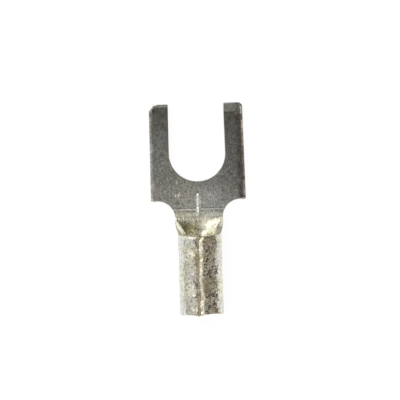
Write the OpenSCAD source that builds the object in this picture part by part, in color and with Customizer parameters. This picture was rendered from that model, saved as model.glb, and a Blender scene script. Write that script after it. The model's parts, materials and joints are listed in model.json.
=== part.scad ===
// Fork terminal for a stranded wire.
// One piece of tinned copper sheet: it is blanked flat, then two wings are rolled up into a barrel
// that butts along its top. A round notch on each side parts the tongue from the wings.
// The tongue stands a little above the underside of the barrel, from a bend line across the neck.
// Frame: the origin is the stud's centre on the underside of the tongue. +Y runs to the tips,
// -Y to the wire, and +Z is up, on the side of the seam.

/* [Sheet] */
// Thickness of the sheet
sheet_t = 0.8; // [0.7:0.05:0.9]

/* [Fork] */
// Width across the tongue at its shoulders
tongue_w = 8.8; // [8.2:0.1:10]
// Length from the tips to the shoulders
tongue_l = 8.94; // [8.2:0.02:11]
// Width of the slot at the stud
slot_w = 5.2; // [4.3:0.1:5.5]
// Depth of the slot from the tips to its round end
slot_depth = 7.2; // [6:0.1:7.6]
// Inward lean of each tine in degrees
toe_in = 0.5; // [0:0.1:1]
// Radius of the outer corner of each tip
tip_r = 0.42; // [0.3:0.02:0.6]
// Length of the lead-in bevel on top of each tip
bevel_l = 0.8; // [0.5:0.1:1.2]
// Drop of the lead-in bevel at the very end of the tip
bevel_drop = 0.16; // [0.08:0.02:0.3]
// Place of the flat on the outer corner of each tip, inward from the side
corner_in = 0.5; // [0.3:0.05:0.7]
// Place of that flat, back from the end of the tip
corner_back = 0.1; // [0.05:0.05:0.3]
// Turn of that flat round the corner in degrees
corner_turn = 40; // [30:1:60]
// Fall of that flat away from the upper face in degrees
corner_fall = 38; // [25:1:50]
// Width of the rolled edge along the outside of the tongue
roll_w = 0.24; // [0.15:0.01:0.3]

/* [Neck] */
// Width of the neck between the notches
neck_w = 4.3; // [3.8:0.05:4.6]
// Radius of the notch on the side of the tongue
notch_r = 1.68; // [1.4:0.02:1.9]
// Radius of the notch on the side of the wings
wing_notch_r = 1.1; // [0.8:0.05:1.4]
// Length of the straight stretch of the neck between the two radii
neck_l = 0.4; // [0.2:0.05:0.8]
// Slant of the wings' front edges in the flat sheet, in degrees
wing_slant = 11; // [4:1:16]
// Place of the bend line below the shoulders, as a share of the notch's radius
bend_share = 0.52; // [0.4:0.02:0.7]
// Height of the tongue above the underside of the barrel
tongue_rise = 0.3; // [0.1:0.05:0.6]

/* [Barrel] */
// Diameter of the wire bore
bore_d = 2.4; // [2.2:0.1:2.8]
// Length of the barrel behind the notches
barrel_l = 7.1; // [5.5:0.1:9]
// Gap between the butted wings
seam_gap = 0.08; // [0.04:0.02:0.2]
// Radius of the wings' outer edges along the seam
seam_r = 0.34; // [0.2:0.02:0.4]
// Radius of the wings' front corners at the seam
wing_r = 0.4; // [0.2:0.05:0.6]
// Width of the bevel round the wire end
end_bevel = 0.1; // [0.05:0.05:0.2]
// Number of the grip grooves inside the bore
groove_count = 3; // [2:1:4]
// Width of each grip groove at its mouth
groove_w = 0.45; // [0.3:0.05:0.6]
// Depth of each grip groove
groove_depth = 0.1; // [0.05:0.05:0.15]

/* [Hidden] */
TIN = [0.66, 0.65, 0.62];
$fn = 96;

// Past this much, one cut or joined piece runs beyond the face of the other.
over = 0.3;
// A line that would only touch an arc is drawn inward by this much, so that the two cross.
cross = 0.003;
// The rolled edge meets the faces this far round in degrees, so that it crosses them at an angle.
roll_turn = 78;
// The drawn neck is this much thinner than the sheet on each side.
drawn = 0.015;
// Steps of the neck across the sheet
sheet_steps = 44;

tip_y = slot_depth - slot_w / 2;
shoulder_y = tip_y - tongue_l;
// The notch bites a little into the shoulder line, so the two cross at an angle.
notch_bite = 0.02 * notch_r;
notch_x = neck_w / 2 + notch_r;
notch_y = shoulder_y - notch_r + notch_bite;
bend_y = shoulder_y - bend_share * notch_r;

bore_r = bore_d / 2;
barrel_r = bore_r + sheet_t;
mid_r = bore_r + sheet_t / 2;
axis_z = barrel_r - tongue_rise;

// The wing's radius starts at this place and runs into the slanted front edge at this half width.
wing_notch_y = notch_y - neck_l;
slant_u = neck_w / 2 + wing_notch_r * (1 - sin(wing_slant));
slant_y = wing_notch_y - wing_notch_r * cos(wing_slant);
// The slanted edge meets the barrel short of the seam, where the wing's corner is rounded off.
corner_angle = asin((seam_gap / 2 + max(wing_r, seam_r) + 0.02) / bore_r);
wing_cap = max(mid_r * PI * (1 - corner_angle / 180), slant_u + 0.1);
front_y = slant_y - (wing_cap - slant_u) * tan(wing_slant);

// The flat neck starts to curl near its narrowest place and is round where the slant begins.
curl_from_y = notch_y + notch_r / 10;
curl_to_y = slant_y;

function ease(t) = let (c = min(max(t, 0), 1)) c * c * (3 - 2 * c);
// Place along the terminal and half width of the flat sheet, from the bend line to the barrel:
// round the tongue's radius, round the wing's radius, then along the slanted front edge
function edge_rows() =
    let (first = asin((notch_y - bend_y) / notch_r))
    concat(
        [for (i = [0 : 5]) let (a = first * (1 - i / 5))
            [notch_y - notch_r * sin(a), notch_x - notch_r * cos(a)]],
        [for (i = [0 : 12]) let (a = (90 - wing_slant) * i / 12)
            [wing_notch_y - wing_notch_r * sin(a), neck_w / 2 + wing_notch_r * (1 - cos(a))]],
        [for (i = [1 : 6])
            [slant_y + (front_y - slant_y) * i / 6, slant_u + (wing_cap - slant_u) * i / 6]]
    );
// Curvature of the section, and height of the sheet's middle on the centre line, at a place y
function curl(y) = ease((curl_from_y - y) / (curl_from_y - curl_to_y)) / mid_r;
function sag(y) =
    let (t = min(max((bend_y - y) / (bend_y - front_y), 0), 1))
    sheet_t / 2 - tongue_rise * t * (2 - t);
// A point of the rolled sheet: u across it from the centre line, w up from its middle
function rolled(u, y, w) =
    let (k = curl(y))
    k < 0.0001
        ? [u, y, sag(y) + w]
        : [(1 / k - w) * sin(u * k * 180 / PI), y,
           sag(y) + 1 / k - (1 / k - w) * cos(u * k * 180 / PI)];

// Outline of the tongue down to the bend line
module tongue_outline() {
    lean = tan(toe_in);
    corner = [tongue_w / 2 - (tongue_l - tip_r) * lean - tip_r / cos(toe_in), tip_y - tip_r];
    side = corner + tip_r * [cos(toe_in), sin(toe_in)];
    difference() {
        union() {
            for (m = [0, 1]) mirror([m, 0]) {
                polygon([
                    [-over, bend_y], [notch_x, bend_y], [notch_x, shoulder_y],
                    [tongue_w / 2, shoulder_y], side, [corner[0], tip_y], [-over, tip_y]
                ]);
                translate(corner) circle(tip_r - cross);
            }
        }
        slot_outline();
        for (m = [0, 1]) mirror([m, 0])
            translate([notch_x, notch_y]) circle(notch_r);
    }
}

// Slot for the stud: round at its end, and narrowing slightly to its mouth
module slot_outline() {
    reach = tip_y + over;
    side = slot_w / 2 - cross;
    circle(d = slot_w);
    polygon([
        [-side, 0], [side, 0],
        [side - reach * tan(toe_in), reach], [-side + reach * tan(toe_in), reach]
    ]);
}

// Rolled upper edge along the outside of a tine, as the piece to cut away
module edge_roll() {
    radius = roll_w / sin(roll_turn);
    width = roll_w * (1 - 1 / tan(roll_turn)) - cross;
    translate([tongue_w / 2, shoulder_y, sheet_t]) rotate([0, 0, toe_in]) rotate([90, 0, 0])
        translate([0, 0, -tongue_l - over]) linear_extrude(tongue_l + 2 * over) difference() {
            translate([-width, -width]) square(width + over);
            translate([-roll_w, -roll_w]) circle(radius);
        }
}

// Lead-in bevel across a tip, as the piece to cut away
module tip_bevel() {
    angle = atan(bevel_drop / bevel_l);
    translate([0, tip_y - bevel_l, sheet_t]) rotate([-angle, 0, 0])
        cube([tongue_w, bevel_l + over, sheet_t]);
}

// Flat on the outer corner of a tip, as the piece to cut away
module corner_flat() {
    side = tongue_w / 2 - tongue_l * tan(toe_in);
    reach = tongue_w / 2;
    translate([side - corner_in, tip_y - corner_back, sheet_t - bevel_drop / 2])
        rotate([0, 0, -corner_turn]) rotate([-corner_fall, 0, 0])
            translate([-reach / 2, 0, 0]) cube(reach);
}

module tongue() {
    color(TIN) difference() {
        linear_extrude(sheet_t) tongue_outline();
        for (m = [0, 1]) mirror([m, 0, 0]) {
            edge_roll();
            tip_bevel();
            corner_flat();
        }
    }
}

// Neck: the sheet between the bend line and the barrel, curling up as it goes
module neck() {
    half_t = sheet_t / 2 - drawn;
    edges = edge_rows();
    // The first and last rows run on into the tongue and the barrel.
    rows = concat(
        [[bend_y + over, edges[0][1]]],
        edges,
        [[front_y - over, edges[len(edges) - 1][1]]]
    );
    points = [
        for (row = rows, j = [0 : sheet_steps], w = [-half_t, half_t])
            rolled((row[1] - drawn) * (2 * j / sheet_steps - 1), row[0], w)
    ];
    n = len(rows) - 1;
    function at(i, j, top) = (i * (sheet_steps + 1) + j) * 2 + top;
    function quad(a, b, c, d) = [[a, b, c], [a, c, d]];
    faces = concat(
        [for (i = [0 : n - 1], j = [0 : sheet_steps - 1], f = concat(
            quad(at(i, j, 1), at(i, j + 1, 1), at(i + 1, j + 1, 1), at(i + 1, j, 1)),
            quad(at(i, j, 0), at(i + 1, j, 0), at(i + 1, j + 1, 0), at(i, j + 1, 0)))) f],
        [for (i = [0 : n - 1], f = concat(
            quad(at(i, 0, 1), at(i + 1, 0, 1), at(i + 1, 0, 0), at(i, 0, 0)),
            quad(at(i + 1, sheet_steps, 1), at(i, sheet_steps, 1),
                 at(i, sheet_steps, 0), at(i + 1, sheet_steps, 0)))) f],
        [for (j = [0 : sheet_steps - 1], f = concat(
            quad(at(0, j + 1, 1), at(0, j, 1), at(0, j, 0), at(0, j + 1, 0)),
            quad(at(n, j, 1), at(n, j + 1, 1), at(n, j + 1, 0), at(n, j, 0)))) f]
    );
    color(TIN) polyhedron(points, faces);
}

// Section of the seam between the wings: rounded edges outside and a narrow gap through the wall
module seam_section() {
    edge_x = seam_gap / 2 + seam_r;
    edge_z = sqrt(pow(barrel_r - seam_r, 2) - edge_x * edge_x);
    difference() {
        translate([-edge_x, edge_z]) square([2 * edge_x, seam_r + over]);
        for (s = [-1, 1]) translate([s * edge_x, edge_z]) circle(seam_r);
    }
    translate([-seam_gap / 2, 0]) square([seam_gap, barrel_r + over]);
}

// Ring section of a grip groove, cut outwards from inside the bore
module groove_section() {
    polygon([
        [bore_r - over, -groove_w / 2], [bore_r, -groove_w / 2],
        [bore_r + groove_depth, -groove_w / 4], [bore_r + groove_depth, groove_w / 4],
        [bore_r, groove_w / 2], [bore_r - over, groove_w / 2]
    ]);
}

module barrel() {
    pitch = barrel_l / (groove_count + 1);
    color(TIN) translate([0, front_y, axis_z]) rotate([90, 0, 0]) difference() {
        // Along this piece's own axis, 0 is the front of the wings and barrel_l is the wire end.
        union() {
            cylinder(r = barrel_r, h = barrel_l - end_bevel);
            translate([0, 0, barrel_l - end_bevel])
                cylinder(r1 = barrel_r, r2 = barrel_r - end_bevel, h = end_bevel);
        }
        translate([0, 0, -over]) cylinder(r = bore_r, h = barrel_l + 2 * over);
        translate([0, 0, barrel_l - end_bevel])
            cylinder(r1 = bore_r, r2 = bore_r + end_bevel + over, h = end_bevel + over);
        for (i = [1 : groove_count])
            translate([0, 0, i * pitch]) rotate_extrude() groove_section();
        translate([0, 0, -over]) linear_extrude(barrel_l + 2 * over) seam_section();
        translate([0, mid_r - sheet_t, 0]) rotate([-90, 0, 0]) linear_extrude(2 * sheet_t + over)
            wing_corners();
    }
}

// Rounding of the wings' front corners at the seam, seen from above
module wing_corners() {
    edge_x = seam_gap / 2 + wing_r;
    difference() {
        translate([-edge_x, -wing_r]) square([2 * edge_x, wing_r + over]);
        for (s = [-1, 1]) translate([s * edge_x, -wing_r]) circle(wing_r - cross);
    }
}

module terminal() {
    union() {
        tongue();
        neck();
        barrel();
    }
}

terminal();
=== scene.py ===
import functools
import json
import math

import bpy
import numpy as np
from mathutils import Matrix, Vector, kdtree
from mathutils.geometry import delaunay_2d_cdt


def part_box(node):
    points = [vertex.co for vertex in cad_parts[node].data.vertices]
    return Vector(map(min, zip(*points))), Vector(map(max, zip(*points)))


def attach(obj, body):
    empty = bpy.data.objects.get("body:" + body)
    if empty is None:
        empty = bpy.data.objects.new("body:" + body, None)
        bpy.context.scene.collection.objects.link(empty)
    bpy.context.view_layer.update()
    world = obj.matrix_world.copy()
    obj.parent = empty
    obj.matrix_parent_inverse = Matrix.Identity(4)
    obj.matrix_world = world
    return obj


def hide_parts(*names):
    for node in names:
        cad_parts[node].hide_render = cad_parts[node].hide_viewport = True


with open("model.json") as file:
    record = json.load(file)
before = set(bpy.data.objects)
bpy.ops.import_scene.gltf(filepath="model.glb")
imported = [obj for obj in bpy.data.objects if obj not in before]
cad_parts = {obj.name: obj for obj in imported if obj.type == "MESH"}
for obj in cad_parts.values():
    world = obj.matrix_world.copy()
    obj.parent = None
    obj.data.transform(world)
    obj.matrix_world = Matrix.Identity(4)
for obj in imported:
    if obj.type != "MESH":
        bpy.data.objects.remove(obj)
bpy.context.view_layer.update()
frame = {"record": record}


def smooth(t):
    """A smooth step from 0 to 1."""
    t = np.clip(t, 0, 1)
    return t * t * (3 - 2 * t)


def between(a, b, share):
    """The value that lies this share of the way from a to b."""
    return a * (1 - share) + b * share


def bell(place, middle, width):
    """A smooth bump of height 1 at the middle."""
    return np.exp(-((place - middle) / width) ** 2)


class Change:
    """A smooth change over a stretch: where it starts, where it is full, and how much it is there."""

    def __init__(self, start, full, amount=1.0):
        self.start = start
        self.full = full
        self.amount = amount

    def __call__(self, place):
        return self.amount * smooth((place - self.start) / (self.full - self.start))


# Driving dimensions, in millimetres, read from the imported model
MM = 0.001
mounts = {mount["name"]: mount for mount in frame["record"]["mounts"]}
stud_slot, wire_bore = (mounts[name]["dims"] for name in ("stud_slot", "wire_bore"))
lowest, highest = ([v / MM for v in corner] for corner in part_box("terminal"))
SLOT_R, SHEET, BORE_R = stud_slot["r_mm"], stud_slot["length_mm"], wire_bore["r_mm"]
TONGUE_W, TIP_Y = highest[0] - lowest[0], highest[1]
END_Y, FLOOR_Z = lowest[1], lowest[2]
# Radius of the middle of the rolled sheet, and how high the tongue's underside lies over the floor
MID_R = BORE_R + SHEET / 2
RISE = -FLOOR_Z

# Tongue of the flat blank: its length, its toe-in, and the rounds of the slot's mouth, tips and shoulders
TONGUE_L, TOE_IN = 8.94, math.radians(0.5)
MOUTH_R, TIP_R, SHOULDER_R = 0.07, 0.42, 0.12
SHOULDER_Y = TIP_Y - TONGUE_L
CORNER_X = TONGUE_W / 2 - (TIP_Y - SHOULDER_Y) * math.tan(TOE_IN)

# Neck: its width, its straight run, the round notch on each side, and where the notch's middle and
# the bend line lie below the shoulders, in notch radii
NECK_W, NECK_L, NOTCH_R = 4.3, 0.4, 1.68
NOTCH_DEEP, BEND_DEEP = 0.98, 0.52
NOTCH_X = NECK_W / 2 + NOTCH_R
NOTCH_Y = SHOULDER_Y - NOTCH_DEEP * NOTCH_R
BEND_Y = SHOULDER_Y - BEND_DEEP * NOTCH_R
# The notch's arc starts at this share of a quarter turn, this far from the straight shoulder
NOTCH_START, NOTCH_RUN = 0.98, 0.12

# Wings: the round where they leave the neck, the slant of their fronts, the gap of the seam, and the
# corners at the seam and at the wire end
WING_R, SLANT, SEAM_GAP = 1.1, math.radians(11), 0.006
CORNER_R = {"lip": 0.55, "tuck": 0.2}
END_R = 0.12
WING_Y = NOTCH_Y - NECK_L
SLANT_U = NECK_W / 2 + WING_R * (1 - math.sin(SLANT))
SLANT_Y = WING_Y - WING_R * math.cos(SLANT)
SEAM_U = math.pi * MID_R - SEAM_GAP / 2
# The slant ends this far short of the seam, where the front lies this much higher
FRONT_SHORT, FRONT_LIFT = 0.6, 0.1
FRONT_Y = SLANT_Y - (SEAM_U - FRONT_SHORT - SLANT_U) * math.tan(SLANT) + FRONT_LIFT
# The corner's arc starts at this share of a quarter turn, this far from the straight front
CORNER_START, CORNER_RUN = 1.1, 0.2

# The curl grows from next to none on the tongue to a full ring on the barrel, from a little above the
# notch's middle (in notch radii), and the slope of the neck builds up over a share of its length
CURL_ABOVE, FLAT_CURL, BEND_EASE = 0.1, 1e-6, 0.05
CURL = Change(NOTCH_Y + CURL_ABOVE * NOTCH_R, SLANT_Y)
# The seam lies this far round from the top of the barrel, and wanders in waves: their height, their
# radians per millimetre and where they start
SEAM_TURN = 0.11
SEAM_WAVES = ((0.03, 2.1, 0.4), (0.02, 5.3, 0.0))
SEAM_TURNS = Change(FRONT_Y + 0.2, FRONT_Y - 0.6)

# Lead-in bevel of the tips: its length, its drop on the right and on the left, the short steep edge at
# the end of the left one, and the sheet that is left at least
BEVEL_L, BEVEL_DROP, LEFT_DROP = 0.88, 0.16, 0.03
STEEP_L, STEEP_DROP = 0.26, 0.11
TIP_SHEET = 0.12
# Flat struck on the outer corner of each tip: its turn towards the side, its fall, and how far in
# from the corner and back from the tip it lies at half the bevel's drop
FLATS = {
    -1: (math.radians(52), math.radians(38), 0.42, 0.1),
    1: (math.radians(45), math.radians(32), 0.17, 0.06),
}

# Straight raised marks, each with its two ends and its reach to each side, and their heights: a bead
# on the neck, a burr at the outer edge of the right tip, which also carries a painted highlight, and small
# scuffs on the tongue
BEAD = ((0.02, BEND_Y - 0.4), (0.02, BEND_Y + 1.3), 0.21)
BEAD_H = 0.06
BURR = ((CORNER_X - 0.12, TIP_Y - 1.05), (CORNER_X - 0.14, TIP_Y - 0.4), 0.1)
BURR_H = 0.055
SCUFF_W, SCUFF_H = 0.07, 0.02
SCUFFS = (
    ((-1.86, -4.05), (-1.62, -3.6), SCUFF_W),
    ((-2.12, -4.0), (-2.02, -3.82), SCUFF_W),
    ((-1.95, -2.75), (-1.82, -2.5), SCUFF_W),
)

# Swell of the bowl's floor where it enters the barrel: along the sheet, and across it with its height
SWELL_IN = Change(FRONT_Y + 0.5, FRONT_Y - 0.1)
SWELL_OUT = Change(FRONT_Y - 0.3, FRONT_Y - 0.1)
SWELL_ACROSS = Change(2.2, 1.0, 0.12)
# Fine crease at the bend line, with a low ridge beside it: how far off the line, their height and depth
BEND_MARK, BEND_RIDGE, BEND_CREASE = 0.07, 0.009, 0.018
# Grip grooves round the inside of the barrel: their count, width and depth, over the barrel's length
BARREL_L = 7.1
GROOVES, GROOVE_W, GROOVE_DEPTH = 3, 0.45, 0.1

# Uneven places as height, seed, and the size of a cell across and along the sheet: the ragged wire
# end, nicks and waves in the rounding of the edges, dents in the barrel, and the ragged seam's valley
RAGGED_END = ((0.05, 3, 0.7, 9.0), (0.03, 4, 0.2, 9.0))
NICKS = ((0.3, 5, 0.3, 0.3), (0.2, 6, 0.12, 0.12))
WAVES = ((0.2, 7, 0.7, 0.7), (0.07, 8, 0.25, 0.25))
DENTS = ((0.028, 61, 0.5, 1.2),)
RAGGED_VALLEY = ((0.16, 51, 0.35, 0.45),)
DENTED = Change(FRONT_Y, FRONT_Y - 0.5)
# Waviness of the rolled faces: its seed and height on each face, then for each of its layers the step
# of the seed, the cell across the sheet and the share, and how much longer than wide a cell is
UPPER_WAVES, LOWER_WAVES = (11, 0.006), (21, 0.012)
WAVE_LAYERS = ((10, 1.0, 0.5), (4, 0.4, 0.3), (1, 0.19, 0.2))
WAVE_LENGTH = 1.25
# The lower face is uneven across the sheet from here on, and even where it rests
UNEVEN_UNDER = Change(0.25, 0.95)
# How far the wire end's burr reaches out, across the sheet
END_BURR = (
    Change(0.45 - SEAM_U, 0.1 - SEAM_U, 0.13),
    Change(3.0, 3.8, -0.07),
    Change(SEAM_U - 0.4, SEAM_U - 0.1, 0.17),
)
# How far the shear drew the metal out along the shoulders and notches
DRAWN = 0.06
# The broken-off half of a cut wall: how far it bites in down the wall, its roughness, seed and cell
BREAK = Change(0.35, 0.6, 0.018)
BREAK_ROUGH, BREAK_SEED, BREAK_CELL = 0.6, 40, 0.12

# Rounding of the cut edges as (width, depth): on the tongue's upper face, which is the inside
# of the barrel, and on the other face
ROUND = {
    "slot": ((0.03, 0.03), (0.03, 0.03)),
    "tip": ((0.1, 0.1), (0.04, 0.04)),
    "side": ((0.75, 0.17), (0.04, 0.04)),
    "far_side": ((0.36, 0.035), (0.04, 0.04)),
    "notch": ((0.015, 0.015), (0.05, 0.05)),
    "front": ((0.12, 0.12), (0.2, 0.18)),
    "far_front": ((0.12, 0.12), (0.24, 0.2)),
    "curl": ((0.06, 0.06), (0.34, 0.26)),
    "lip": ((0.06, 0.06), (0.42, 0.14)),
    "tuck": ((0.06, 0.06), (0.66, 0.14)),
    "end": ((0.1, 0.1), (0.12, 0.12)),
}
# Edges that slope off evenly, not in a quarter round, and the wider slope of the tuck at the wire end
SLOPING = ("side", "far_side", "lip", "tuck")
TUCK_WEAR = Change(END_Y + 2.5, END_Y + 1.0, 0.25)
# The rounding runs over from one edge to the next across this many points each way
EDGE_BLUR = 5

# Mesh density: along the outline, inward from it, over the faces, in the finest places (by the bend
# line and at the tips), and down the walls
STEP = 0.05
RINGS = (0.015, 0.035, 0.06, 0.09, 0.13, 0.18, 0.24, 0.3)
GRID, FINE_GRID = 0.068, 0.034
FINE_BEND, FINE_TIP = 0.26, 1.0
WALL_ROWS = 6
# Rows of the grid lie this share of its spacing apart, and it stays this share of it off the last ring
ROW_PITCH, GRID_GAP = 0.866, 0.45
# A ring's point stays where no other edge is nearer than this share of its depth
RING_KEPT = 0.985
# Triangulation: the mode that fills the inside of the outline, and the distance at which points merge
FILL_INSIDE, MERGE = 1, 1e-7

# Finish of the cut edges: how bare the right wing's front wall and the upper rim are, and the wear
# behind the wing fronts, right and left, with its width and the shares of it where it ends and is full
WING_CUT, RIM_CUT = 0.75, 0.5
FRONT_WEAR, FRONT_WEAR_W = (0.5, 0.8), (0.2, 0.3)
WEAR_END, WEAR_FULL = 1.2, 0.2
# That wear is this much at the rim itself, and whole from here on
RIM_WEAR = 0.2
PAST_RIM = Change(0.0, 0.14)

# Finish of the barrel: yellower tin along the sheet, the brown valley left of the seam, the lip right
# of it with its brighter front, and grime in strips along the right and left of the seam
WARM = Change(BEND_Y + 0.05, BEND_Y - 0.45)
VALLEY = Change(SEAM_U - 0.36, SEAM_U - 0.12)
VALLEY_FRONT = FRONT_Y + 0.3
LIP = Change(SEAM_U - 0.42, SEAM_U - 0.22)
LIP_FRONT = Change(FRONT_Y - 0.9, FRONT_Y - 0.4, 0.7)
GRIME_RIGHT = Change(3.3, 3.6)
GRIME_LEFT = Change(0.55 - SEAM_U, 0.35 - SEAM_U, 0.7)
GRIME_ALONG = Change(BEND_Y - 1.2, BEND_Y - 2.2)
# Grime elsewhere on the barrel, its loss on cut edges, and its share inside the barrel
GRIME_LEAST, GRIME_CUT_LOSS, GRIME_INSIDE = 0.16, 0.8, 0.4
# Smoother, duller patch left of the seam at the wire end: its middle, its size, its edge in shares of
# that size, and what it takes off the brightness and the grime
DULL_PLACE, DULL_SIZE = (-4.22, END_Y + 0.75), (0.42, 0.62)
DULL = Change(1.375, 0.75)
DULL_DIM, DULL_CLEAN = 0.14, 0.95

# Painted shade on the tongue: its brightness at the bend line, its fall towards the tips and the curve of
# that fall
TONGUE_TONE, TONGUE_FALL, TONGUE_CURVE = 1.22, 0.45, 0.6
# By shares of the way from the bend line to the tips: the tines' further painted fall, where the painted
# shade on the right side begins and ends, the painted shade on the left tip and the brighter neck
TINE_FALL = Change(0.45, 0.95, 0.22)
RIGHT_DIM_IN = Change(0.0, 0.25)
RIGHT_DIM_OUT = Change(0.55, 0.75, 0.7)
LEFT_TIP_DIM = Change(0.82, 0.92, 0.1)
NECK_ALONG = Change(0.35, 0.1)
# Across the tongue: the painted shade on the right side, and the neck's lift with its loss towards the
# sides
RIGHT_DIM = Change(1.0, 3.5, 0.28)
NECK_LIFT = 0.5
NECK_SIDES = Change(0.6, 3.0, 0.36)
# At the tips: painted light on the bevel, painted shade on the steep edge and a painted highlight on the
# right corner
BEVEL_LIFT = Change(TIP_Y - BEVEL_L, TIP_Y - BEVEL_L + 0.1, 0.16)
STEEP_DIM = Change(TIP_Y - STEEP_L, TIP_Y - STEEP_L + 0.1, 0.12)
CORNER_LIFT = Change(CORNER_X - 0.5, CORNER_X - 0.3, 0.4)
CORNER_ALONG = Change(TIP_Y - 0.35, TIP_Y - 0.2)
# Painted shade past the bend line: on the top of the bowl and its right side, in the crease and on the
# ridge of the bend with their place, width and dimming, and on the rims of the wing fronts
BOWL_TOP_DIM = Change(BEND_Y - 0.9, BEND_Y - 0.5, 0.16)
BOWL_RIGHT_DIM = Change(0.9, 1.7, 0.14)
BOWL_RIGHT_ALONG = Change(BEND_Y - 1.5, BEND_Y - 1.0)
CREASE = (BEND_Y - 0.08, 0.09)
CREASE_DIM = 0.22
CREASE_RIGHT = Change(-0.5, 1.0, 0.16)
RIDGE, RIDGE_DIM = (BEND_Y + 0.05, 0.08), 0.2
FRONT_RIM_DIM = Change(0.16, 0.0, 0.5)

# Painted highlight on the left tip's struck corner, by the height of the face and how far it reaches
GLINT_FACE = Change(0.31, 0.27)
GLINT_L = 1.0
GLINT_W = 0.8

# The bowl: its extent, where its colour is lighter partly as cleaner plate and partly as painted light, its
# smoother right side, the painted shade on its left and the painted glow by the barrel
BOWL = Change(BEND_Y - 0.4, BEND_Y - 1.1)
PIT_LOSS = Change(-0.35, 0.55, 0.85)
SHADE_FROM = -0.25
SHADE_LEAN = Change(BEND_Y - 1.0, BEND_Y - 1.8, 0.5)
SHADE_ACROSS = Change(0.0, 1.2)
SHADE_ALONG = Change(BEND_Y - 0.7, BEND_Y - 1.5)
SHADE_LEAST = 0.4
SHADE_DEEP = Change(FRONT_Y + 0.2, FRONT_Y + 0.6)
GLOW_U = -0.8
GLOW_ACROSS = Change(0.9, 0.2)
GLOW_ALONG = Change(FRONT_Y + 0.8, FRONT_Y + 0.4)

# Pale specks, fewer towards the tips, and dirt and rubbed metal along the tongue's sides: by how far
# in from the side they lie, along it, and how far short of the tips they end
SPECKS = Change(2.5, -1.5, 0.65)
SIDE_FROM = SHOULDER_Y + 0.1
RIGHT_DIRT = Change(0.78, 0.48)
RIGHT_DIRT_RIM = Change(-0.02, 0.32)
LEFT_DIRT = Change(0.42, 0.22)
LEFT_DIRT_LEAST = 0.22
LEFT_DIRT_ALONG = Change(0.5, 2.5, 0.45)
DIRT_SHORT = (0.9, 0.55)
DIRT_END = Change(0.0, 0.3)
RUBBED = Change(0.22, 0.1)
RUBBED_LEFT = 0.35
RUBBED_ALONG = Change(-0.5, 2.5)
RUBBED_END = Change(TIP_Y - 0.9, TIP_Y - 1.2)

# Noise in the tin as features per millimetre, detail and roughness, from clouds down to crystal grain
NOISES = {
    "cloud": (0.55, 3, 0.6),
    "patch": (1.2, 3, 0.6),
    "mottle": (2.4, 4, 0.6),
    "stain": (0.8, 2, 0.5),
    "fleck": (3.8, 2, 0.6),
    "fine": (6.8, 1, 0.5),
}
# Stretched noise: the stretch and the turn before it, then the same three values
STRETCHED_NOISES = {
    "streak": ((3.2, 0.7, 3.2), 0.0, (1.0, 3, 0.6)),
    "rub": ((14.0, 0.7, 4.0), 0.35, (2.2, 2, 0.5)),
}
# Marks made from the noises: the levels between which each comes in, and its least and most if not 0 and 1
MARKS = {
    "cool": ("cloud", 0.42, 0.6),
    "patches": ("patch", 0.4, 0.65, 0.0, 0.5),
    "mottles": ("mottle", 0.42, 0.62, 0.0, 0.5),
    "stains": ("stain", 0.4, 0.62, 0.0, 0.36),
    "busier": ("stain", 0.45, 0.62, 1.1, 0.35),
    "blotches": ("patch", 0.4, 0.6),
    "flecks": ("fleck", 0.54, 0.6),
    "spots": ("mottle", 0.5, 0.57),
    "pits": ("fine", 0.42, 0.36),
    "pale": ("fine", 0.58, 0.64),
    "salt": ("fine", 0.62, 0.68),
    "saltier": ("patch", 0.4, 0.58, 0.05, 0.3),
    "valley": ("streak", 0.35, 0.6, 0.3, 0.7),
    "lip": ("mottle", 0.4, 0.6, 0.4, 0.75),
    "dirt": ("mottle", 0.35, 0.6, 0.7, 1.0),
    "copper": ("fleck", 0.44, 0.53, 0.05, 0.9),
    "worn": ("mottle", 0.4, 0.62, 0.45, 0.85),
    "gloss": ("mottle", 0.3, 0.7, 0.13, 0.26),
    "grain": ("fine", 0.6, 0.72),
    "rub": ("rub", 0.6, 0.7),
}
# Colours of the finish, as linear red, green and blue
COLOURS = {
    "brown_tin": (0.60, 0.585, 0.53),
    "blue_tin": (0.66, 0.675, 0.685),
    "patch": (0.45, 0.445, 0.42),
    "mottle": (0.4, 0.395, 0.38),
    "yellow_tin": (0.85, 0.84, 0.68),
    "pale_tin": (0.86, 0.855, 0.82),
    "stain": (0.58, 0.555, 0.46),
    # the bowl: lighter partly as cleaner plate and partly as painted light; then the painted shade on its
    # left and the painted glow by the barrel
    "inside": (1.0, 0.985, 0.84),
    "shade": (0.63, 0.605, 0.35),
    "glow": (1.0, 0.95, 0.69),
    "brown_blotch": (0.55, 0.445, 0.275),
    "pink_blotch": (0.64, 0.55, 0.48),
    "fleck": (0.12, 0.095, 0.07),
    "spot": (0.15, 0.12, 0.09),
    "pit": (0.16, 0.13, 0.1),
    "pale": (0.97, 0.96, 0.92),
    "valley": (0.95, 0.8, 0.59),
    "lip": (0.9, 0.84, 0.68),
    "dirt": (0.165, 0.153, 0.14),
    "copper": (0.82, 0.75, 0.69),
    # painted highlight, near white
    "bare": (1.0, 0.99, 0.94),
    "worn_edge": (0.8, 0.77, 0.6),
    "cut_wall": (0.97, 0.95, 0.85),
}
# How strongly marks show: in the bowl, then in grimy places, as a factor or as a factor and a base
BOWL_SHARES = {"inside": 0.9, "shade": 0.95, "glow": 0.95}
BLOTCHED, FLECKED, SPOTTED, PALER = (0.7, 0.05), (0.5, 0.36), 0.72, (0.85, 0.05)
BOWL_PITTED, GRIME_PITTED = 0.6, 0.6
CUT_WALLS = (0.8, 1.0)
# Roughness added by cut edges, rub marks and the bowl
CUT_ROUGH, RUB_ROUGH, BOWL_ROUGH = 0.3, 0.06, 0.08
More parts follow.
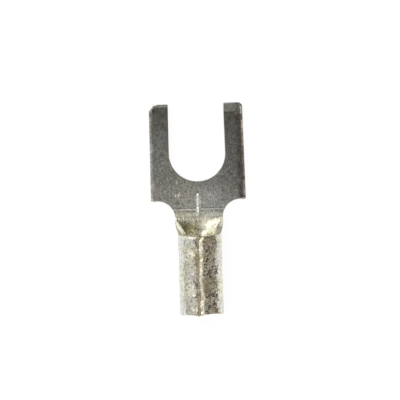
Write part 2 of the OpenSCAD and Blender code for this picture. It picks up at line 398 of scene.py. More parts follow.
# Relief in millimetres: dents and flecks, each in marked places and everywhere, pits in the bowl and
# in grime, grain, streaks and rub marks, and how much the bowl's smooth side evens out dents
DENT_RELIEF, FLECK_RELIEF = (0.03, 0.006), (0.045, 0.003)
BOWL_PIT_RELIEF, GRIME_PIT_RELIEF = 0.034, 0.026
GRAIN_RELIEF, STREAK_RELIEF, RUB_RELIEF = 0.004, 0.04, -0.001
EVENED = -0.75

# Floor, in metres: half its width, its grey under the lamps, the share of it that shows white, and
# how that white fades in reflections from this far to this far away
FLOOR_HALF, FLOOR_GREY, FLOOR_WHITE = 3.0, (0.9, 0.9, 0.9, 1), 0.92
FLOOR_FADE = (0.024, 0.034, 1.0, 0.45)

# Studio world, by the direction looked in. Ramps run from 0 at the left to 1 at the right, and the
# dip overhead from 0 at the wire end to 1 at the tips
SKY = (
    (0.0, (0.8, 0.8, 0.79)),
    (0.08, (0.65, 0.65, 0.65)),
    (0.2, (0.48, 0.485, 0.49)),
    (0.33, (0.4, 0.4, 0.4)),
    (0.45, (0.22, 0.22, 0.215)),
    (0.55, (0.18, 0.175, 0.165)),
    (0.67, (0.46, 0.425, 0.375)),
    (0.9, (0.6, 0.555, 0.5)),
    (1.0, (0.54, 0.505, 0.46)),
)
OBJECTS = ((0.0, (0.17, 0.155, 0.13)), (1.0, (1.0, 0.93, 0.81)))
OBJECT_NOISE, OBJECT_LEVELS, OBJECTS_FROM = (4.0, 2, 0.6), (0.42, 0.6), (0.15, 0.5, 0.0, 0.7)
RIGHT_SKY = ((0.73, 1.0), (0.85, 1.15), (0.94, 1.0), (1.0, 0.6))
OVERHEAD_DIP = ((0.48, 1.1), (0.53, 0.8), (0.6, 0.62), (0.7, 1.2))
TIP_SKY = (
    (0.0, 1.15), (0.3, 1.1), (0.46, 1.0), (0.53, 0.6), (0.58, 0.33), (0.66, 0.27), (0.8, 0.18), (1.0, 0.15),
)
TIP_SKY_FROM = (0.3, 0.55)
WINDOW = ((0.0, 1.2), (0.22, 1.55), (0.3, 1.5), (0.37, 1.4), (0.44, 1.0))
WINDOW_TINT, WINDOW_LEFT, WINDOW_FROM = (1.0, 0.995, 0.93), (-0.02, -0.22), (0.0, 0.12)
WIRE_SKY = (
    (0.0, (0.6, 0.6, 0.59)),
    (0.17, (0.62, 0.62, 0.61)),
    (0.26, (1.0, 1.0, 0.96)),
    (0.4, (0.84, 0.84, 0.78)),
    (0.5, (0.76, 0.75, 0.67)),
    (0.58, (0.58, 0.565, 0.49)),
    (0.7, (0.36, 0.34, 0.28)),
    (0.8, (0.25, 0.23, 0.19)),
    (1.0, (0.25, 0.23, 0.19)),
)
WIRE_SKY_FROM = (-0.03, -0.15)
# The sky darkens towards the horizon
HORIZON = (0.0, 0.15, 0.45, 1.0)

# Lamps, in metres and watts: name, place, the point that it faces, size, power and colour
LAMPS = (
    ("key", (-0.37, 0.44, 0.3), (0, -0.006, 0), (0.32, 0.26), 1.0, (1.0, 0.99, 0.96)),
    ("overhead", (0, 0, 0.9), (0, 0, 0), (1.2, 1.2), 8.0, (1, 1, 1)),
)

# Camera, in metres: its place over the part, its distance from the tongue, the width it sees there,
# its turn, its sensor in millimetres, and how near it sees
CAMERA_X, CAMERA_Y, CAMERA_FROM = 0.00014, -0.00435, 0.150
VIEW_W, CAMERA_TURN = 37.0 * MM, math.radians(-1.9)
SENSOR_W, CLIP_START = 36.0, 0.005


def slot_x(y):
    """Where the right side of the slot lies."""
    return SLOT_R - y * math.tan(TOE_IN)


def side_x(y):
    """Where the right side of the tongue lies."""
    return TONGUE_W / 2 - (y - SHOULDER_Y) * math.tan(TOE_IN)


def line(p, q, kind):
    """Points along a straight edge, without its end."""
    n = max(2, int(math.dist(p, q) / STEP) + 1)
    return [(p[0] + (q[0] - p[0]) * i / n, p[1] + (q[1] - p[1]) * i / n, kind) for i in range(n)]


def arc(c, r, a0, a1, kind):
    """Points along an arc, without its end."""
    n = max(4, int(abs(a1 - a0) * r / STEP) + 1)
    steps = [a0 + (a1 - a0) * i / n for i in range(n)]
    return [(c[0] + r * math.cos(a), c[1] + r * math.sin(a), kind) for a in steps]


def half_outline(side, front, seam):
    """Right half of the blank's outline, from the round end of the slot to the wire end."""
    up = math.pi / 2
    pts = arc((0, 0), SLOT_R, -up, 0, "slot")
    mouth = (slot_x(TIP_Y - MOUTH_R), TIP_Y - MOUTH_R)
    pts += line((SLOT_R, 0), mouth, "slot")
    pts += arc((mouth[0] + MOUTH_R, mouth[1]), MOUTH_R, 2 * up, up, "tip")
    tip = (side_x(TIP_Y - TIP_R) - TIP_R, TIP_Y - TIP_R)
    pts += line((slot_x(TIP_Y) + MOUTH_R, TIP_Y), (tip[0], TIP_Y), "tip")
    pts += arc(tip, TIP_R, up, 0, side)
    shoulder = (TONGUE_W / 2 - SHOULDER_R, SHOULDER_Y + SHOULDER_R)
    pts += line((tip[0] + TIP_R, tip[1]), (side_x(shoulder[1]), shoulder[1]), side)
    pts += arc(shoulder, SHOULDER_R, 0, -up, side)
    pts += line((shoulder[0], SHOULDER_Y), (NOTCH_X + NOTCH_RUN, SHOULDER_Y), "notch")
    pts += arc((NOTCH_X, NOTCH_Y), NOTCH_R, up * NOTCH_START, 2 * up, "notch")
    pts += line((NECK_W / 2, NOTCH_Y), (NECK_W / 2, WING_Y), "notch")
    pts += arc((NECK_W / 2 + WING_R, WING_Y), WING_R, 2 * up, 3 * up - SLANT, front)
    r = CORNER_R[seam]
    corner = (SEAM_U - r, FRONT_Y - r)
    pts += line((SLANT_U, SLANT_Y), (corner[0] - CORNER_RUN, FRONT_Y), front)
    pts += arc(corner, r, up * CORNER_START, 0, "curl" if seam == "lip" else front)
    end = (SEAM_U - END_R, END_Y + END_R)
    pts += line((SEAM_U, corner[1]), (SEAM_U, end[1]), seam)
    pts += arc(end, END_R, 0, -up, "end")
    pts += line((end[0], END_Y), (0, END_Y), "end")
    return pts


class Noise:
    """Seeded smooth noise over the flat blank, about -1 to 1."""

    CELLS = 256
    # Keeps every place positive
    SHIFT = 1000.0

    def __init__(self, seed, cell_u, cell_y):
        self.cell = np.array((cell_u, cell_y))
        self.grid = np.random.default_rng(seed).uniform(-1, 1, (self.CELLS, self.CELLS))

    def __call__(self, places):
        scaled = places / self.cell + self.SHIFT
        cell = np.floor(scaled).astype(int)
        share = scaled - cell
        share = share * share * share * (share * (share * 6 - 15) + 10)

        def value(right, up):
            return self.grid[(cell[:, 0] + right) % self.CELLS, (cell[:, 1] + up) % self.CELLS]

        low = between(value(0, 0), value(1, 0), share[:, 0])
        high = between(value(0, 1), value(1, 1), share[:, 0])
        return between(low, high, share[:, 1])


def uneven(layers, places):
    """Sum of layers of noise, each with its height, seed and cells."""
    return sum(height * Noise(seed, *cells)(places) for height, seed, *cells in layers)


def rolled(u, y, w):
    """The rolled sheet in space: u across the blank, y along it, w up from its middle."""
    wander = SEAM_TURN
    for height, pace, start in SEAM_WAVES:
        wander = wander + height * np.sin(pace * y + start)
    u = u + wander * SEAM_TURNS(y)
    k = np.maximum(CURL(y) / MID_R, FLAT_CURL)
    t = np.clip((BEND_Y - y) / (BEND_Y - FRONT_Y), 0, 1)
    sag = SHEET / 2 - RISE * (1 + BEND_EASE) * t * t / (t + BEND_EASE)
    return np.stack(((1 / k - w) * np.sin(u * k), y, sag + 1 / k - (1 / k - w) * np.cos(u * k)), 1)


def blur(values):
    """Each rim point's values averaged with those of its neighbours."""
    reach = range(-EDGE_BLUR, EDGE_BLUR + 1)
    return sum(np.roll(values, shift, 0) for shift in reach) / len(reach)


class Blank:
    """Outline of the flat blank as a closed loop of points, with its inward side and edge rounding."""

    def __init__(self):
        right = half_outline("side", "front", "lip")
        far = half_outline("far_side", "far_front", "tuck")
        left = [(-x, y, kind) for x, y, kind in far[::-1][:-1]]
        outline = right + [(0.0, END_Y, "end")] + left
        self.kinds = np.array([kind for _, _, kind in outline])
        self.rim = np.array([(x, y) for x, y, _ in outline])
        self.count = len(self.rim)
        burr = sum(reach(self.rim[:, 0]) for reach in END_BURR)
        self.rim[:, 1] += np.where(self.kinds == "end", uneven(RAGGED_END, self.rim) - burr, 0)
        self.find_inward()
        self.rim -= self.inward * (DRAWN * blur((self.kinds == "notch").astype(float)))[:, None]
        self.after, self.before = np.roll(self.rim, -1, 0), np.roll(self.rim, 1, 0)
        self.sloping = np.isin(self.kinds, SLOPING)
        wear = 1 + np.where(self.sloping, uneven(WAVES, self.rim), uneven(NICKS, self.rim))
        wear += (self.kinds == "tuck") * TUCK_WEAR(self.rim[:, 1])
        self.rounding = blur(np.array([ROUND[kind] for kind in self.kinds])) * wear[:, None, None]
        self.tree = kdtree.KDTree(self.count)
        for i, p in enumerate(self.rim):
            self.tree.insert((p[0], p[1], 0), i)
        self.tree.balance()

    def find_inward(self):
        """The way the outline runs round, and the inward direction at each of its points."""
        nexts = np.roll(self.rim, -1, 0)
        tangent = nexts - np.roll(self.rim, 1, 0)
        tangent /= np.linalg.norm(tangent, axis=1)[:, None]
        self.left_handed = np.sum(self.rim[:, 0] * nexts[:, 1] - nexts[:, 0] * self.rim[:, 1]) > 0
        self.inward = np.stack((-tangent[:, 1], tangent[:, 0]), 1) * (1 if self.left_handed else -1)

    def depth(self, points):
        """How far each point lies inside the outline, and the rim point nearest to it."""
        idx = np.array([self.tree.find((p[0], p[1], 0))[1] for p in points])
        best = np.full(len(points), np.inf)
        for other in (self.after, self.before):
            a = self.rim[idx]
            ab = other[idx] - a
            t = np.clip(np.sum((points - a) * ab, 1) / np.sum(ab * ab, 1), 0, 1)
            best = np.minimum(best, np.linalg.norm(points - a - ab * t[:, None], axis=1))
        inside = np.sum((points - self.rim[idx]) * self.inward[idx], 1) > 0
        return np.where(inside, best, -best), idx


def fine_place(p):
    """Where the finest mesh is needed: along the bend line and on the outer corners of the tips."""
    bend = np.abs(p[:, 1] - BEND_Y) < FINE_BEND
    corner = (np.abs(p[:, 0]) > TONGUE_W / 2 - FINE_TIP) & (p[:, 1] > TIP_Y - FINE_TIP)
    return bend | corner


def grid_points(blank, spacing):
    """Even rows of points over the blank, inside the rings along its outline."""
    us = np.arange(-math.pi * MID_R, math.pi * MID_R, spacing)
    ys = np.arange(END_Y, TIP_Y, spacing * ROW_PITCH)
    uu, yy = np.meshgrid(us, ys)
    uu = uu + (np.arange(len(ys)) % 2)[:, None] * spacing / 2
    points = np.stack((uu.ravel(), yy.ravel()), 1)
    points = points[fine_place(points) == (spacing == FINE_GRID)]
    return points[blank.depth(points)[0] > RINGS[-1] + spacing * GRID_GAP]


def flat_mesh(blank):
    """Triangles over the flat blank, with the ids of the points on its rim."""
    clouds = [blank.rim]
    for d in RINGS:
        ring = blank.rim + blank.inward * d
        clouds.append(ring[blank.depth(ring)[0] > RING_KEPT * d])
    clouds += [grid_points(blank, GRID), grid_points(blank, FINE_GRID)]
    loop = [(i, (i + 1) % blank.count) for i in range(blank.count)]
    points = [Vector(p) for p in np.concatenate(clouds)]
    got = delaunay_2d_cdt(points, loop, [], FILL_INSIDE, MERGE, True)
    flat = np.array([(v.x, v.y) for v in got[0]])
    where = {src: out for out, sources in enumerate(got[3]) for src in sources}
    tris = np.array(got[2])
    tris = tris[blank.depth(flat[tris].mean(1))[0] > 0]
    return flat, tris, np.array([where[i] for i in range(blank.count)])


def stroke(p, start, end, width):
    """How near each point is to a straight mark from start to end: 1 on it, 0 from its width on."""
    a, ab = np.array(start), np.array(end) - np.array(start)
    t = np.clip((p - a) @ ab / (ab @ ab), 0, 1)
    return smooth(1 - np.linalg.norm(p - a - t[:, None] * ab, axis=1) / width)


class Sheet:
    """The rolled sheet as a mesh: its upper face, its lower face, then the cut walls between their rims."""

    def __init__(self):
        self.blank = Blank()
        self.flat, self.tris, self.rim_ids = flat_mesh(self.blank)
        depth, self.near = self.blank.depth(self.flat)
        self.dist = np.maximum(depth, 0)
        self.dist[self.rim_ids] = 0
        self.top, self.low = self.upper_heights(), self.lower_heights()
        m = len(self.flat)
        self.upper, self.lower, self.walls = slice(0, m), slice(m, 2 * m), slice(2 * m, None)
        self.places = np.concatenate((self.flat, self.flat, np.tile(self.blank.rim, (WALL_ROWS - 1, 1))))
        self.u, self.y = self.places.T
        self.at_front = np.isin(self.blank.kinds[self.near], ("front", "far_front"))

    def fall(self, face):
        """How far a face falls off at its rounded rim."""
        width, deep = self.blank.rounding[self.near, face].T
        x = np.clip(1 - self.dist / width, 0, 1)
        return deep * np.where(self.blank.sloping[self.near], x * x, 1 - np.sqrt(1 - x * x))

    def waviness(self, seed, size):
        """Layers of smooth noise over a face, of this size."""
        return [size * share * Noise(seed + step, cell, cell * WAVE_LENGTH)(self.flat)
                for step, cell, share in WAVE_LAYERS]

    def upper_heights(self):
        """Height of the upper face over the sheet's middle, with its bevels, marks and grooves."""
        u, y = self.flat.T
        half = SHEET / 2
        top = half - self.fall(0)
        bevel = np.clip((y - TIP_Y + BEVEL_L) / BEVEL_L, 0, 1)
        steep = np.clip((y - TIP_Y + STEEP_L) / STEEP_L, 0, 1)
        top -= np.where(u > 0, BEVEL_DROP * bevel, LEFT_DROP * bevel + STEEP_DROP * steep)
        for side, (turn, slope, inset, back) in FLATS.items():
            past = (side * u - CORNER_X + inset) * math.sin(turn) + (y - TIP_Y + back) * math.cos(turn)
            struck = half - BEVEL_DROP / 2 - past * math.tan(slope)
            top = np.where(side * u > 0, np.minimum(top, struck), top)
        top = np.maximum(top, -half + TIP_SHEET)
        top += BEAD_H * stroke(self.flat, *BEAD)
        top += BURR_H * stroke(self.flat, *BURR)
        for scuff in SCUFFS:
            top += SCUFF_H * stroke(self.flat, *scuff)
        top += SWELL_IN(y) * SWELL_OUT(y) * SWELL_ACROSS(np.abs(u))
        top += BEND_RIDGE * bell(y, BEND_Y + BEND_MARK, BEND_MARK)
        top -= BEND_CREASE * bell(y, BEND_Y - BEND_MARK, BEND_MARK)
        for i in range(GROOVES):
            away = np.abs(y - END_Y - BARREL_L * (i + 1) / (GROOVES + 1))
            top -= GROOVE_DEPTH * np.clip((GROOVE_W / 2 - away) / (GROOVE_W / 4), 0, 1)
        for wave in self.waviness(*UPPER_WAVES):
            top += wave
        return top

    def lower_heights(self):
        """Height of the lower face over the sheet's middle, even where it rests on the floor."""
        u, y = self.flat.T
        low = self.fall(1) - SHEET / 2
        off_floor = UNEVEN_UNDER(np.abs(u))
        low += uneven(DENTS, self.flat) * DENTED(y) * off_floor
        seed, size = LOWER_WAVES
        for wave in self.waviness(seed, size * off_floor):
            low += wave
        return low

    def verts(self):
        """All points in space. The walls' rows run from the upper rim down, rougher where they broke."""
        u, y = self.flat.T
        parts = [rolled(u, y, self.top), rolled(u, y, self.low)]
        rim, top, low = self.blank.rim, self.top[self.rim_ids], self.low[self.rim_ids]
        for k in range(1, WALL_ROWS):
            share = k / WALL_ROWS
            grain = Noise(BREAK_SEED + k, BREAK_CELL, BREAK_CELL)(rim)
            bite = BREAK(share) * (1 + BREAK_ROUGH * grain)
            p = rim + self.blank.inward * bite[:, None]
            parts.append(rolled(p[:, 0], p[:, 1], between(top, low, share)))
        return np.concatenate(parts)

    def faces(self):
        """Both faces' triangles, then the walls' quads from row to row."""
        n, m = self.blank.count, len(self.flat)
        rows = [self.rim_ids]
        rows += [2 * m + k * n + np.arange(n) for k in range(WALL_ROWS - 1)]
        rows += [self.rim_ids + m]
        faces = self.tris.tolist() + (self.tris[:, ::-1] + m).tolist()
        for a, b in zip(rows, rows[1:]):
            quads = np.stack((a, b, np.roll(b, -1), np.roll(a, -1)), 1)
            faces += (quads if self.blank.left_handed else quads[:, ::-1]).tolist()
        return faces

    def on_upper(self, values):
        """The values on the upper face, and 0 elsewhere."""
        field = np.zeros(len(self.places))
        field[self.upper] = values
        return field


def cut_field(sheet):
    """Bare cut metal: the walls, the upper rim, and the wear behind the wing fronts."""
    cut = np.zeros(len(sheet.places))
    cut[sheet.walls] = np.tile(np.where(sheet.blank.kinds == "front", WING_CUT, 1.0), WALL_ROWS - 1)
    cut[sheet.rim_ids] = RIM_CUT
    right = sheet.flat[:, 0] > 0
    width = np.where(right, *FRONT_WEAR_W)
    wear = Change(WEAR_END * width, WEAR_FULL * width, np.where(right, *FRONT_WEAR))
    worn = wear(sheet.dist) * between(RIM_WEAR, 1.0, PAST_RIM(sheet.dist))
    cut[sheet.lower] = np.where(sheet.at_front, worn, sheet.dist == 0)
    return cut


def seam_fields(sheet):
    """The valley to the left of the seam and the lip to its right, on the outside of the barrel."""
    u, y = sheet.u, sheet.y
    valley = VALLEY(np.abs(u) + uneven(RAGGED_VALLEY, sheet.places)) * (y < VALLEY_FRONT) * (u < 0)
    lip = LIP(u) * (y < FRONT_Y) * (1 + LIP_FRONT(y))
    for field in (valley, lip):
        field[sheet.upper] = 0
    return valley, lip


def dull_patch(sheet):
    """The smoother patch at the wire end, on the lower face."""
    away = [(place - middle) / size for place, middle, size in zip(sheet.flat.T, DULL_PLACE, DULL_SIZE)]
    return DULL(np.hypot(*away))


def grime_field(sheet, cut):
    """Dark, busy grime on the barrel, most of it in strips beside the seam."""
    strips = GRIME_RIGHT(sheet.u) + GRIME_LEFT(sheet.u)
    grime = GRIME_ALONG(sheet.y) * between(GRIME_LEAST, 1.0, strips) * (1 - GRIME_CUT_LOSS * cut)
    grime[sheet.upper] *= GRIME_INSIDE
    grime[sheet.lower] *= 1 - DULL_CLEAN * dull_patch(sheet)
    return grime


def painted_shading_field(sheet, warm):
    """Painted light and shade, by which the plate's colour is multiplied."""
    u, y = sheet.u, sheet.y
    along = (y - BEND_Y) / (TIP_Y - BEND_Y)
    tone = TONGUE_TONE - TONGUE_FALL * np.clip(along, 0, 1) ** TONGUE_CURVE - TINE_FALL(along)
    tone *= 1 - RIGHT_DIM(u) * RIGHT_DIM_IN(along) * (1 - RIGHT_DIM_OUT(along))
    tone *= 1 - LEFT_TIP_DIM(along) * (u < 0)
    tone += BEVEL_LIFT(y) * (u > 0)
    tone *= 1 - STEEP_DIM(y) * (u < 0)
    tone += CORNER_LIFT(u) * CORNER_ALONG(y)
    tone += (NECK_LIFT - NECK_SIDES(np.abs(u))) * NECK_ALONG(along)
    past_bend = 1 - BOWL_TOP_DIM(y)
    past_bend[sheet.upper] *= (1 - BOWL_RIGHT_DIM(u) * BOWL_RIGHT_ALONG(y))[sheet.upper]
    tone = between(tone, past_bend, warm)
    tone *= 1 - (CREASE_DIM + CREASE_RIGHT(u)) * bell(y, *CREASE)
    tone *= 1 - RIDGE_DIM * bell(y, *RIDGE)
    tone[sheet.lower] *= 1 - sheet.at_front * FRONT_RIM_DIM(sheet.dist)
    tone[sheet.lower] *= 1 - DULL_DIM * dull_patch(sheet)
    return tone


def painted_glint_field(sheet):
    """Painted highlight on the left tip's struck corner and on the right tip's burr."""
    u, y = sheet.flat.T
    struck = GLINT_FACE(sheet.top) * (y > TIP_Y - GLINT_L) * (u < -TONGUE_W / 2 + GLINT_W)
    return sheet.on_upper(np.maximum(struck, stroke(sheet.flat, *BURR)))


def bowl_fields(sheet):
    """The bowl and the inside of the barrel, lighter partly as painted light, their pits, the painted shade
    on the bowl's left and its painted glow.
    """
    u, y = sheet.u, sheet.y
    inside = sheet.on_upper(BOWL(sheet.flat[:, 1]))
    pits = inside * (1 - PIT_LOSS(u))
    shade = inside * SHADE_ACROSS(SHADE_LEAN(y) + SHADE_FROM - u) * SHADE_ALONG(y)
    shade *= between(SHADE_LEAST, 1.0, SHADE_DEEP(y))
    glow = inside * GLOW_ALONG(y) * GLOW_ACROSS(np.abs(u - GLOW_U))
    return inside, pits, shade, glow


def side_fields(sheet):
    """Dirt and rubbed metal along the two sides of the tongue."""
    u, y = sheet.u, sheet.y
    right = u > 0
    on_side = y > SIDE_FROM
    inset = side_x(y) - np.abs(u)
    right_dirt = RIGHT_DIRT(inset) * RIGHT_DIRT_RIM(inset)
    left_dirt = LEFT_DIRT(inset) * (LEFT_DIRT_LEAST + LEFT_DIRT_ALONG(y))
    dirt = np.where(right, right_dirt, left_dirt) * on_side
    dirt *= DIRT_END(TIP_Y - np.where(right, *DIRT_SHORT) - y)
    rubbed = RUBBED(inset) * on_side * np.where(right, 1.0, RUBBED_LEFT) * RUBBED_ALONG(y) * RUBBED_END(y)
    return dirt, rubbed


def finish_fields(sheet):
    """Where the finish and the painted light and shade change: one number for each point of the mesh, under
    each name.
    """
    cut = cut_field(sheet)
    warm = WARM(sheet.y)
    seam, lip = seam_fields(sheet)
    grime = grime_field(sheet, cut)
    tone = painted_shading_field(sheet, warm)
    dirt, rubbed = side_fields(sheet)
    inside, pits, shade, glow = bowl_fields(sheet)
    return {
        "cut": cut, "warm": warm, "seam": seam, "lip": lip, "grime": grime, "tone": tone,
        "dirt": dirt, "rubbed": rubbed, "inside": inside, "pits": pits, "shade": shade,
        "glow": glow, "speck": SPECKS(sheet.y), "bare": painted_glint_field(sheet),
    }


def build_terminal(sheet, fields):
    mesh = bpy.data.meshes.new("terminal_sheet")
    mesh.from_pydata((sheet.verts() * MM).tolist(), [], sheet.faces())
    mesh.update()
    mesh.shade_smooth()
    for name, values in fields.items():
        mesh.attributes.new(name, "FLOAT", "POINT").data.foreach_set("value", values.astype(np.float32))
    piece = bpy.data.objects.new("terminal_sheet", mesh)
    bpy.context.collection.objects.link(piece)
    return piece


class Nodes:
    """Short ways to add and join shader nodes."""

    def __init__(self, tree):
        self.tree = tree

    def add(self, kind, **values):
        node = self.tree.nodes.new(kind)
        for key, value in values.items():
            if hasattr(node, key):
                setattr(node, key, value)
            else:
                node.inputs[key.replace("_", " ")].default_value = value
        return node

    def join(self, source, target):
        self.tree.links.new(source, target)

    def fill(self, node, pairs):
        """Sets or joins the inputs with these numbers, by what each is given."""
        for i, v in pairs:
            if isinstance(v, (int, float)):
                node.inputs[i].default_value = v
            elif isinstance(v, tuple):
                node.inputs[i].default_value = (*v, 1)
            else:
                self.join(v, node.inputs[i])

    def math(self, operation, *values):
        node = self.add("ShaderNodeMath", operation=operation)
        self.fill(node, enumerate(values))
        return node.outputs[0]

    def times(self, a, b):
        return self.math("MULTIPLY", a, b)

    def most(self, a, b):
        return self.math("MAXIMUM", a, b)

    def linear(self, value, factor, base):
        return self.math("MULTIPLY_ADD", value, factor, base)

    def total(self, values):
        return functools.reduce(lambda a, b: self.math("ADD", a, b), values)

    def noise(self, vector, scale, detail, rough):
        node = self.add("ShaderNodeTexNoise", Scale=scale, Detail=detail, Roughness=rough)
        self.join(vector, node.inputs["Vector"])
        return node.outputs["Fac"]

    def stretch(self, vector, scale, turn=0.0):
        node = self.add("ShaderNodeMapping", Rotation=(0, 0, turn), Scale=scale)
        self.join(vector, node.inputs["Vector"])
        return node.outputs[0]

    def ramp(self, fac, stops):
        node = self.add("ShaderNodeValToRGB")
        ramp = node.color_ramp
        while len(ramp.elements) < len(stops):
            ramp.elements.new(0.5)
        for element, (position, colour) in zip(ramp.elements, stops):
            element.position = position
            element.color = (*colour, 1)
        self.join(fac, node.inputs["Fac"])
        return node.outputs["Color"]

    def span(self, value, start, full, least=0.0, most=1.0):
        """A smooth change from least to most as the value goes from start to full."""
        node = self.add("ShaderNodeMapRange", interpolation_type="SMOOTHSTEP")
        self.fill(node, enumerate((value, start, full, least, most)))
        return node.outputs["Result"]

    def mix(self, fac, a, b, blend="MIX"):
        """Colour b over colour a. The node's colours are its sockets 6 and 7, and its output 2."""
        node = self.add("ShaderNodeMix", data_type="RGBA", blend_type=blend)
        self.fill(node, ((0, fac), (6, a), (7, b)))
        return node.outputs[2]

    def grey(self, value):
        node = self.add("ShaderNodeCombineColor")
        for socket in node.inputs:
            self.join(value, socket)
        return node.outputs[0]


def tin_colour(t, field, mark, busy):
    """Tin: near neutral on the tongue, bluer and browner in clouds, and yellower where it was rolled, with
    painted light and shade, a painted glow and painted highlights laid over it.
    """
    plain = t.mix(mark["cool"], COLOURS["brown_tin"], COLOURS["blue_tin"])
    plain = t.mix(mark["patches"], plain, COLOURS["patch"])
    plain = t.mix(mark["mottles"], plain, COLOURS["mottle"])
    yellow = t.mix(mark["cool"], COLOURS["yellow_tin"], COLOURS["pale_tin"])
    yellow = t.mix(mark["stains"], yellow, COLOURS["stain"])
    colour = t.mix(field["warm"], plain, yellow)
    for name, share in BOWL_SHARES.items():
        colour = t.mix(t.times(field[name], share), colour, COLOURS[name])
    # Painted light and shade multiply the colour here
    colour = t.mix(1.0, colour, t.grey(field["tone"]), "MULTIPLY")

    blotched = t.times(mark["blotches"], t.linear(field["grime"], *BLOTCHED))
    blotch = t.mix(mark["cool"], COLOURS["brown_blotch"], COLOURS["pink_blotch"])
    colour = t.mix(blotched, colour, blotch)
    pitted = t.linear(field["pits"], BOWL_PITTED, t.times(busy, GRIME_PITTED))
    paler = t.times(mark["pale"], t.linear(busy, *PALER))
    layers = {
        "fleck": t.times(mark["flecks"], t.linear(busy, *FLECKED)),
        "spot": t.times(mark["spots"], t.times(busy, SPOTTED)),
        "pit": t.times(mark["pits"], pitted),
        "pale": t.linear(field["speck"], t.times(mark["salt"], mark["saltier"]), paler),
        "valley": t.times(field["seam"], mark["valley"]),
        "lip": t.times(field["lip"], mark["lip"]),
        "dirt": t.times(field["dirt"], mark["dirt"]),
        "copper": t.times(field["rubbed"], mark["copper"]),
        "bare": field["bare"],
    }
    for name, share in layers.items():
        colour = t.mix(share, colour, COLOURS[name])
    cut = t.mix(t.span(field["cut"], *CUT_WALLS), COLOURS["worn_edge"], COLOURS["cut_wall"])
    return t.mix(t.times(field["cut"], mark["worn"]), colour, cut)


def tin_roughness(t, field, mark):
    """Semi-bright plate, duller in blotches, in rub marks, in the bowl and on cut edges."""
    return t.total((
        mark["gloss"],
        t.times(field["cut"], CUT_ROUGH),
        t.times(mark["rub"], RUB_ROUGH),
        t.times(field["inside"], BOWL_ROUGH),
    ))


def tin_relief(t, field, noise, mark, busy):
    """Dents, pits, grain and rub marks in millimetres, coarser on the rolled part."""
    even = t.math("SUBTRACT", field["inside"], field["pits"])
    dented = t.linear(even, EVENED, field["warm"])
    pitted = t.linear(field["pits"], BOWL_PIT_RELIEF, t.times(busy, GRIME_PIT_RELIEF))
    return t.total((
        t.times(noise["mottle"], t.linear(dented, *DENT_RELIEF)),
        t.times(noise["fleck"], t.linear(busy, *FLECK_RELIEF)),
        t.times(noise["fine"], pitted),
        t.times(t.times(mark["grain"], field["speck"]), GRAIN_RELIEF),
        t.times(t.times(noise["streak"], dented), STREAK_RELIEF),
        t.times(mark["rub"], RUB_RELIEF),
    ))


def tin_material(field_names):
    mat = bpy.data.materials.new("tinned_copper")
    mat.use_nodes = True
    t = Nodes(mat.node_tree)
    place = t.stretch(t.add("ShaderNodeTexCoord").outputs["Object"], (1 / MM,) * 3)
    field = {name: t.add("ShaderNodeAttribute", attribute_name=name).outputs["Fac"] for name in field_names}
    noise = {name: t.noise(place, *recipe) for name, recipe in NOISES.items()}
    for name, (scale, turn, recipe) in STRETCHED_NOISES.items():
        noise[name] = t.noise(t.stretch(place, scale, turn), *recipe)
    mark = {name: t.span(noise[source], *levels) for name, (source, *levels) in MARKS.items()}
    busy = t.times(field["grime"], mark["busier"])

    shader = mat.node_tree.nodes["Principled BSDF"]
    shader.inputs["Metallic"].default_value = 1.0
    t.join(tin_colour(t, field, mark, busy), shader.inputs["Base Color"])
    t.join(tin_roughness(t, field, mark), shader.inputs["Roughness"])
    bump = t.add("ShaderNodeBump", Strength=1.0, Distance=MM)
    t.join(tin_relief(t, field, noise, mark, busy), bump.inputs["Height"])
    t.join(bump.outputs["Normal"], shader.inputs["Normal"])
    return mat


def floor_material():
    """Pale floor that shows white to the camera and in the metal, and still takes the part's shadow."""
    mat = bpy.data.materials.new("pale_floor")
    mat.use_nodes = True
    t = Nodes(mat.node_tree)
    mat.node_tree.nodes.remove(mat.node_tree.nodes["Principled BSDF"])
    path = t.add("ShaderNodeLightPath").outputs
    seen = t.most(path["Is Camera Ray"], path["Is Glossy Ray"])
    seen = t.most(seen, path["Is Transmission Ray"])
    away = t.add("ShaderNodeVectorMath", operation="LENGTH")
    t.join(t.add("ShaderNodeTexCoord").outputs["Object"], away.inputs[0])
    reflected = t.span(away.outputs["Value"], *FLOOR_FADE)
    white = t.add("ShaderNodeEmission")
    t.join(t.most(reflected, path["Is Camera Ray"]), white.inputs["Strength"])
    plain = t.add("ShaderNodeBsdfDiffuse", Color=FLOOR_GREY)
    blend = t.add("ShaderNodeMixShader")
    sources = (t.times(seen, FLOOR_WHITE), plain.outputs[0], white.outputs[0])
    for source, socket in zip(sources, blend.inputs):
        t.join(source, socket)
    t.join(blend.outputs[0], mat.node_tree.nodes["Material Output"].inputs["Surface"])
    return mat


def build_floor():
    mesh = bpy.data.meshes.new("floor")
    corners = ((-1, -1), (1, -1), (1, 1), (-1, 1))
    points = [(x * FLOOR_HALF, y * FLOOR_HALF, FLOOR_Z * MM) for x, y in corners]
    mesh.from_pydata(points, [], [(0, 1, 2, 3)])
    mesh.materials.append(floor_material())
    floor = bpy.data.objects.new("floor", mesh)
    bpy.context.collection.objects.link(floor)


def tinted(stops, tint=(1, 1, 1)):
    """A ramp's stops as colours, from brightnesses."""
    return [(at, tuple(value * part for part in tint)) for at, value in stops]


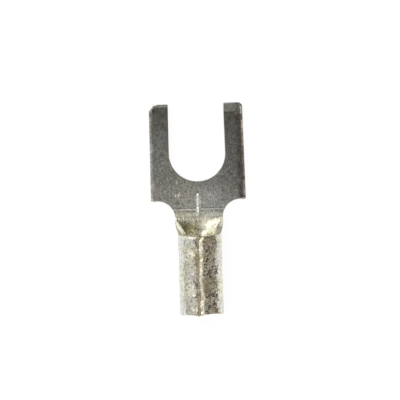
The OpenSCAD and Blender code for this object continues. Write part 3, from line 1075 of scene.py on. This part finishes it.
def studio_world():
    """Soft studio: a dim sky, objects on the right, a window on the left, and a sky beyond each end."""
    world = bpy.data.worlds.new("studio")
    bpy.context.scene.world = world
    world.use_nodes = True
    t = Nodes(world.node_tree)
    way = t.add("ShaderNodeTexCoord").outputs["Generated"]
    parts = t.add("ShaderNodeSeparateXYZ")
    t.join(way, parts.inputs[0])
    x, y, z = (parts.outputs[name] for name in "XYZ")
    across, along = (t.linear(part, 0.5, 0.5) for part in (x, y))
    objects = t.ramp(t.span(t.noise(way, *OBJECT_NOISE), *OBJECT_LEVELS), OBJECTS)
    sky = t.mix(t.span(x, *OBJECTS_FROM), t.ramp(across, SKY), objects)
    sky = t.mix(1.0, sky, t.ramp(across, tinted(RIGHT_SKY)), "MULTIPLY")
    sky = t.mix(1.0, sky, t.ramp(along, tinted(OVERHEAD_DIP)), "MULTIPLY")
    sky = t.mix(t.span(y, *TIP_SKY_FROM), sky, t.ramp(across, tinted(TIP_SKY)))
    window = t.ramp(across, tinted(WINDOW, WINDOW_TINT))
    sky = t.mix(t.times(t.span(x, *WINDOW_LEFT), t.span(y, *WINDOW_FROM)), sky, window)
    sky = t.mix(t.span(y, *WIRE_SKY_FROM), sky, t.ramp(across, WIRE_SKY))
    sky = t.mix(1.0, sky, t.grey(t.span(z, *HORIZON)), "MULTIPLY")
    t.join(sky, world.node_tree.nodes["Background"].inputs["Color"])


def area_light(name, place, target, size, power, colour):
    """A soft lamp that the metal doesn't mirror."""
    lamp = bpy.data.lights.new(name, "AREA")
    lamp.shape = "RECTANGLE"
    lamp.size, lamp.size_y = size
    lamp.energy = power
    lamp.color = colour
    obj = bpy.data.objects.new(name, lamp)
    bpy.context.collection.objects.link(obj)
    obj.location = place
    obj.rotation_euler = (Vector(target) - Vector(place)).to_track_quat("-Z", "Y").to_euler()
    obj.visible_glossy = False


def camera():
    """Looks straight down on the part."""
    cam = bpy.data.cameras.new("camera")
    cam.sensor_width = SENSOR_W
    cam.lens = SENSOR_W * CAMERA_FROM / VIEW_W
    cam.clip_start = CLIP_START
    obj = bpy.data.objects.new("camera", cam)
    bpy.context.collection.objects.link(obj)
    obj.location = (CAMERA_X, CAMERA_Y, SHEET * MM + CAMERA_FROM)
    obj.rotation_euler = (0, 0, CAMERA_TURN)
    bpy.context.scene.camera = obj


camera()
sheet = Sheet()
fields = finish_fields(sheet)
terminal = build_terminal(sheet, fields)
terminal.data.materials.append(tin_material(fields))
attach(terminal, "root")
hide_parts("terminal")
build_floor()
studio_world()
for lamp in LAMPS:
    area_light(*lamp)
bpy.context.scene.view_settings.view_transform = "Standard"
